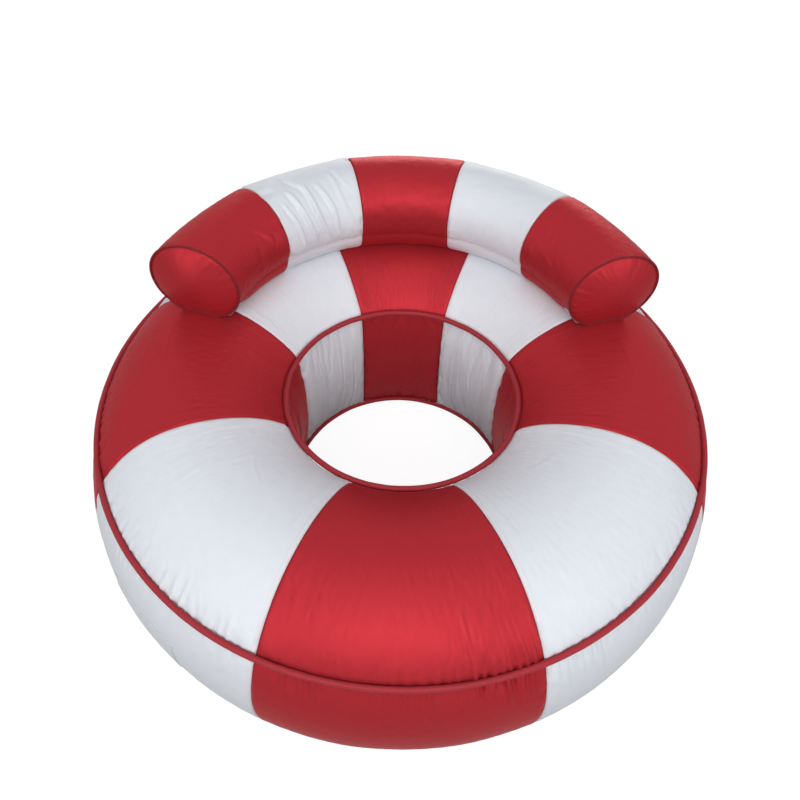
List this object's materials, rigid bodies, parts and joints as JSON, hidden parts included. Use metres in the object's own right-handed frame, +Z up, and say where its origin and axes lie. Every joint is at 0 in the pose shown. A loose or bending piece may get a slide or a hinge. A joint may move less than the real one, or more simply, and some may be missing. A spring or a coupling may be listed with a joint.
{
  "type": "pool lounger",
  "caption": "Inflatable ring lounger in a red and white striped fabric cover, with a curved bolster headrest along its back, piping, valves and zips.",
  "frame": {"origin": "on the floor plane, at the centre of the ring's hole", "axes": "+Z up; the headrest lies on the +Y side and the open front faces -Y; +X is on the right seen from the front. Left and right in the node names are as seen from the front."},
  "size_m": [1.221, 1.221, 0.5417],
  "materials": {
    "red_fabric": "satin polyester",
    "white_fabric": "satin polyester",
    "red_piping": "bias tape over a cord",
    "bladder_pvc": "welded film",
    "valve_plastic": "moulded",
    "flap_rubber": "soft",
    "zip_tape": "woven tape",
    "zip_chain": "moulded teeth",
    "zip_metal": "cast, plated"
  },
  "bodies": {
    "lounger": {"headrest_bladder": "bladder_pvc", "headrest_end_left": "red_fabric", "headrest_end_right": "red_fabric", "headrest_piping_left": "red_piping", "headrest_piping_right": "red_piping", "headrest_top_centre": "red_fabric", "headrest_top_left": "white_fabric", "headrest_top_left_end": "red_fabric", "headrest_top_right": "white_fabric", "headrest_top_right_end": "red_fabric", "headrest_under_centre": "red_fabric", "headrest_under_left": "white_fabric", "headrest_under_left_end": "red_fabric", "headrest_under_right": "white_fabric", "headrest_under_right_end": "red_fabric", "headrest_valve_stem": "valve_plastic", "headrest_zip_tape": "zip_tape", "piping_inner_base": "red_piping", "piping_inner_top": "red_piping", "piping_outer_base": "red_piping", "piping_outer_top": "red_piping", "ring_base_panel": "white_fabric", "ring_bladder": "bladder_pvc", "ring_inner_panel_back": "red_fabric", "ring_inner_panel_back_left": "white_fabric", "ring_inner_panel_back_right": "white_fabric", "ring_inner_panel_front": "red_fabric", "ring_inner_panel_front_left": "white_fabric", "ring_inner_panel_front_right": "white_fabric", "ring_inner_panel_left": "red_fabric", "ring_inner_panel_right": "red_fabric", "ring_side_panel_back": "red_fabric", "ring_side_panel_back_left": "white_fabric", "ring_side_panel_back_right": "white_fabric", "ring_side_panel_front": "red_fabric", "ring_side_panel_front_left": "white_fabric", "ring_side_panel_front_right": "white_fabric", "ring_side_panel_left": "red_fabric", "ring_side_panel_right": "red_fabric", "ring_top_panel_back": "red_fabric", "ring_top_panel_back_left": "white_fabric", "ring_top_panel_back_right": "white_fabric", "ring_top_panel_front": "red_fabric", "ring_top_panel_front_left": "white_fabric", "ring_top_panel_front_right": "white_fabric", "ring_top_panel_left": "red_fabric", "ring_top_panel_right": "red_fabric", "ring_valve_base": "valve_plastic", "ring_zip_chain": "zip_chain", "ring_zip_tape_inner": "zip_tape", "ring_zip_tape_outer": "zip_tape"},
    "valve_cap": {"ring_valve_cap": "valve_plastic"},
    "valve_insert": {"ring_valve_insert": "valve_plastic", "ring_valve_flap": "flap_rubber"},
    "ring_zip_slider": {"ring_zip_slider": "zip_metal"},
    "ring_zip_pull": {"ring_zip_pull": "zip_metal"},
    "headrest_valve_plug": {"headrest_valve_plug": "valve_plastic"},
    "headrest_zip_slider": {"headrest_zip_slider": "zip_metal"},
    "headrest_zip_pull": {"headrest_zip_pull": "zip_metal"}
  },
  "joints": [
    {"name": "valve_cap_slide", "type": "slide", "parent": "lounger", "child": "valve_cap", "axis": [0.6897, 0.6897, -0.2206], "range_m": [0, 0.03]},
    {"name": "valve_insert_turn", "type": "hinge", "parent": "lounger", "child": "valve_insert", "pos_m": [0.42595, 0.42595, 0.10192], "axis": [0.6897, 0.6897, -0.2206], "range_deg": [0, 540]},
    {"name": "ring_zip_travel", "type": "hinge", "parent": "lounger", "child": "ring_zip_slider", "pos_m": [0, 0, 0.01178], "axis": [0, 0, 1], "range_deg": [-54, 0]},
    {"name": "ring_zip_pull_hinge", "type": "hinge", "parent": "ring_zip_slider", "child": "ring_zip_pull", "pos_m": [-0.25309, 0.49671, 0.00831], "axis": [-0.3975, 0.7802, 0.4831], "range_deg": [-170, 0]},
    {"name": "headrest_plug_slide", "type": "slide", "parent": "lounger", "child": "headrest_valve_plug", "axis": [0.4539, 0.8909, -0.0165], "range_m": [0, 0.015]},
    {"name": "headrest_zip_travel", "type": "hinge", "parent": "lounger", "child": "headrest_zip_slider", "pos_m": [0, 0, 0.39846], "axis": [0, 0, 1], "range_deg": [-72, 0]},
    {"name": "headrest_zip_pull_hinge", "type": "hinge", "parent": "headrest_zip_slider", "child": "headrest_zip_pull", "pos_m": [-0.29072, 0.40015, 0.39555], "axis": [-0.418, 0.5753, 0.7031], "range_deg": [-170, 0]}
  ]
}
